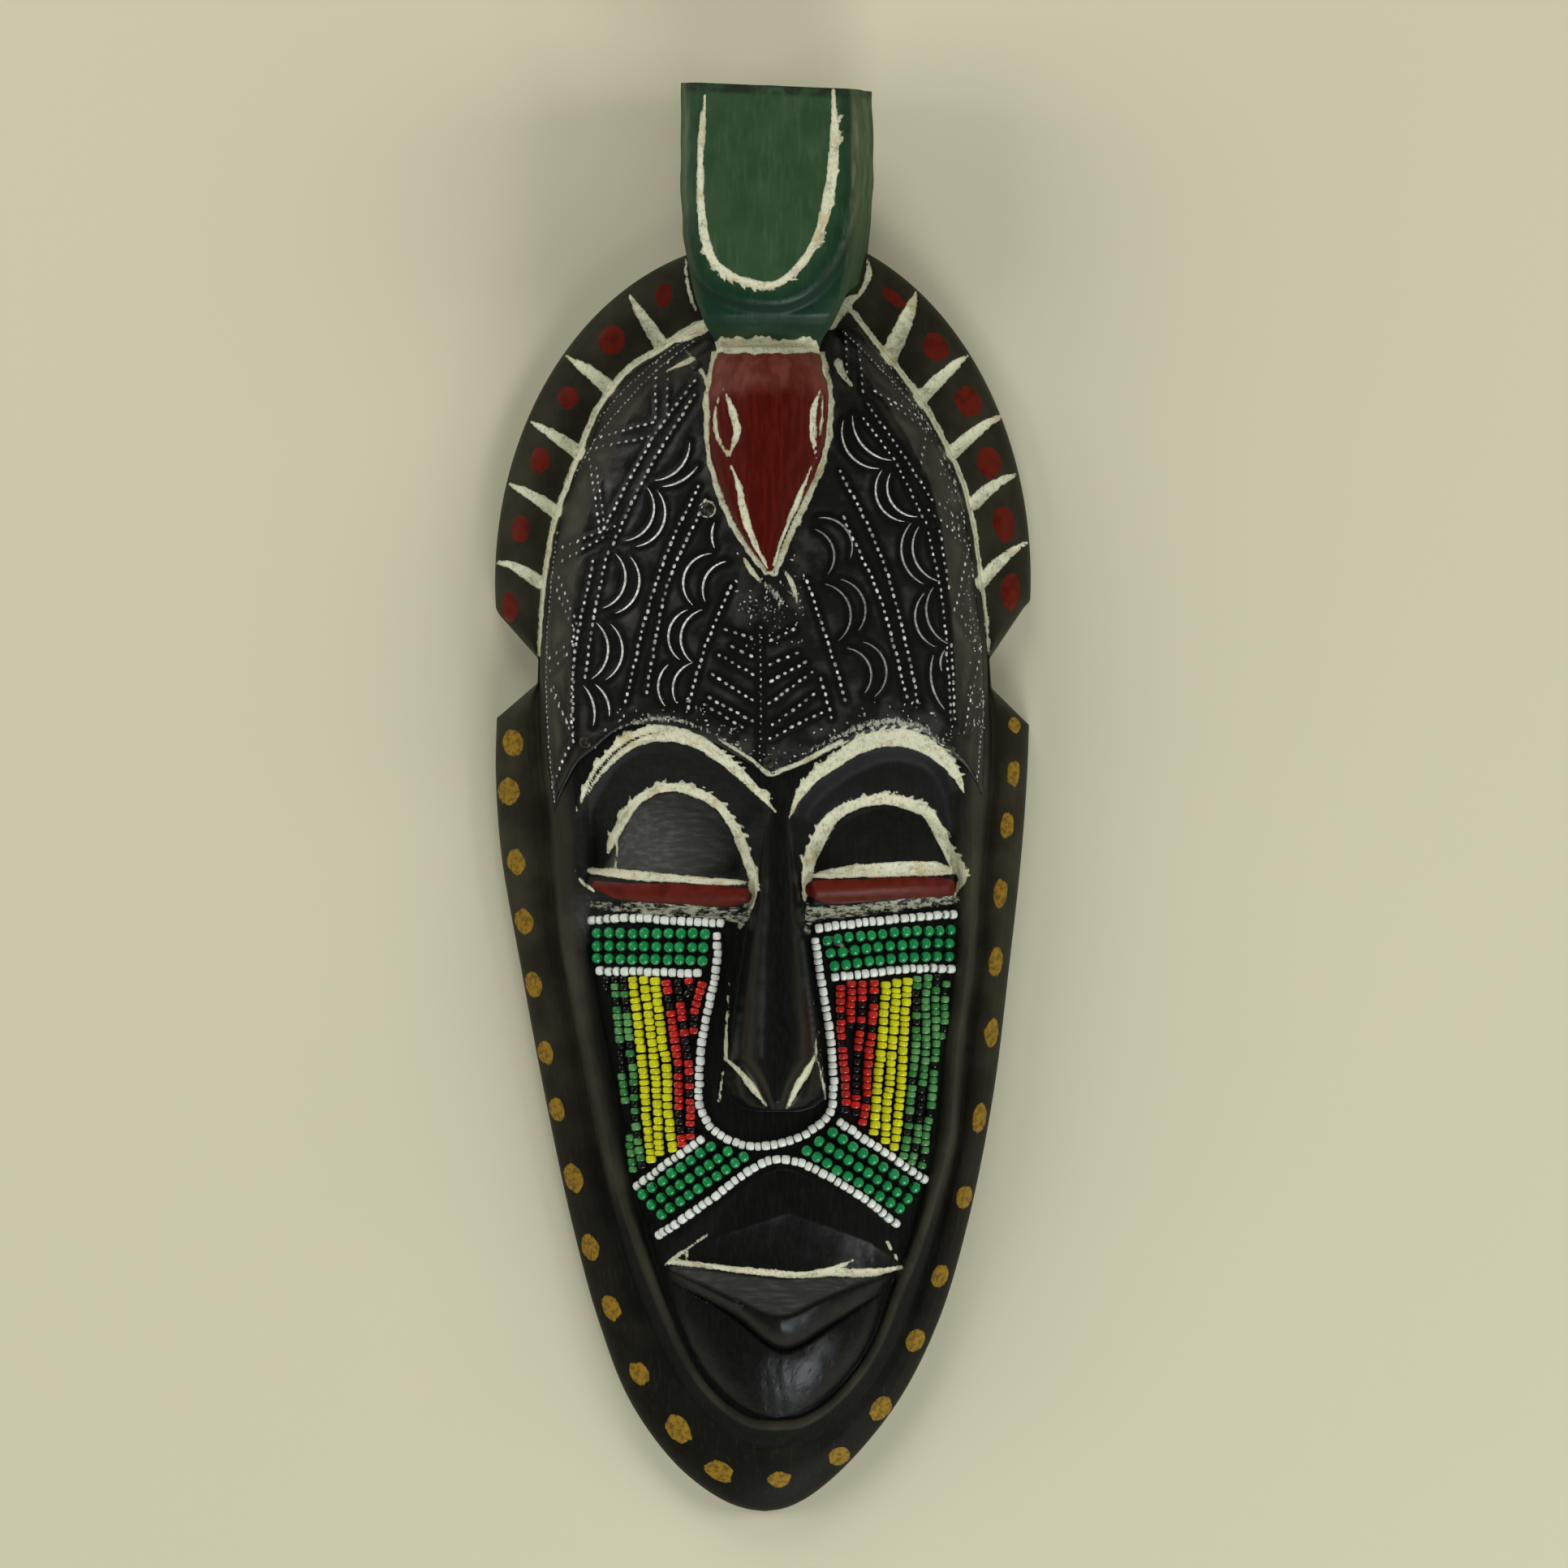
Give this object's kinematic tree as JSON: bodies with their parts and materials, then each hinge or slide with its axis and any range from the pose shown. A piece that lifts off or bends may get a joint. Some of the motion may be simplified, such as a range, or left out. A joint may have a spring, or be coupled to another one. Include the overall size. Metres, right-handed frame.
{
  "type": "beaded wall mask",
  "caption": "Long oval carved wooden wall mask with a parrot above the brow, an embossed metal forehead and glass bead strands on the cheeks.",
  "frame": {"origin": "centre of the bounding box in plan, on the flat back that the mask lies on", "axes": "+X to the right seen from the front, +Y up the mask from chin to parrot, +Z out of the back towards the viewer"},
  "size_m": [0.157, 0.4186, 0.0566],
  "materials": {
    "carved_wood": "black stain under satin polish, with painted green, brick red, cream and ochre areas",
    "embossed_sheet": "blackened and rubbed bright on its raised dots",
    "nail_metal": "dull dark metal",
    "bead_white": "opaque glossy glass",
    "bead_green": "opaque glossy glass",
    "bead_yellow": "opaque glossy glass",
    "bead_red": "opaque glossy glass",
    "bead_leaf": "opaque glossy glass"
  },
  "bodies": {
    "root": {"mask_body": "carved_wood", "forehead_plate": "embossed_sheet", "plate_nail_1": "nail_metal", "plate_nail_2": "nail_metal", "plate_nail_3": "nail_metal", "plate_nail_4": "nail_metal", "bead_white_top_left": "bead_white", "bead_white_top_right": "bead_white", "bead_white_middle_left": "bead_white", "bead_white_middle_right": "bead_white", "bead_white_nose": "bead_white", "bead_white_upper_lip": "bead_white", "bead_white_cheek_left": "bead_white", "bead_white_cheek_right": "bead_white", "bead_green_eye_left_1": "bead_green", "bead_green_eye_left_2": "bead_green", "bead_green_eye_left_3": "bead_green", "bead_green_eye_right_1": "bead_green", "bead_green_eye_right_2": "bead_green", "bead_green_eye_right_3": "bead_green", "bead_green_cheek_left_1": "bead_green", "bead_green_cheek_left_2": "bead_green", "bead_green_cheek_left_3": "bead_green", "bead_green_cheek_right_1": "bead_green", "bead_green_cheek_right_2": "bead_green", "bead_green_cheek_right_3": "bead_green", "bead_leaf_left_1": "bead_leaf", "bead_leaf_left_2": "bead_leaf", "bead_yellow_left_1": "bead_yellow", "bead_yellow_left_2": "bead_yellow", "bead_yellow_left_3": "bead_yellow", "bead_red_left_1": "bead_red", "bead_red_left_2": "bead_red", "bead_red_left_3": "bead_red", "bead_red_right_1": "bead_red", "bead_red_right_2": "bead_red", "bead_red_right_3": "bead_red", "bead_red_right_4": "bead_red", "bead_yellow_right_1": "bead_yellow", "bead_yellow_right_2": "bead_yellow", "bead_yellow_right_3": "bead_yellow", "bead_leaf_right_1": "bead_leaf", "bead_leaf_right_2": "bead_leaf", "bead_leaf_right_3": "bead_leaf", "bead_leaf_right_4": "bead_leaf"}
  },
  "joints": []
}
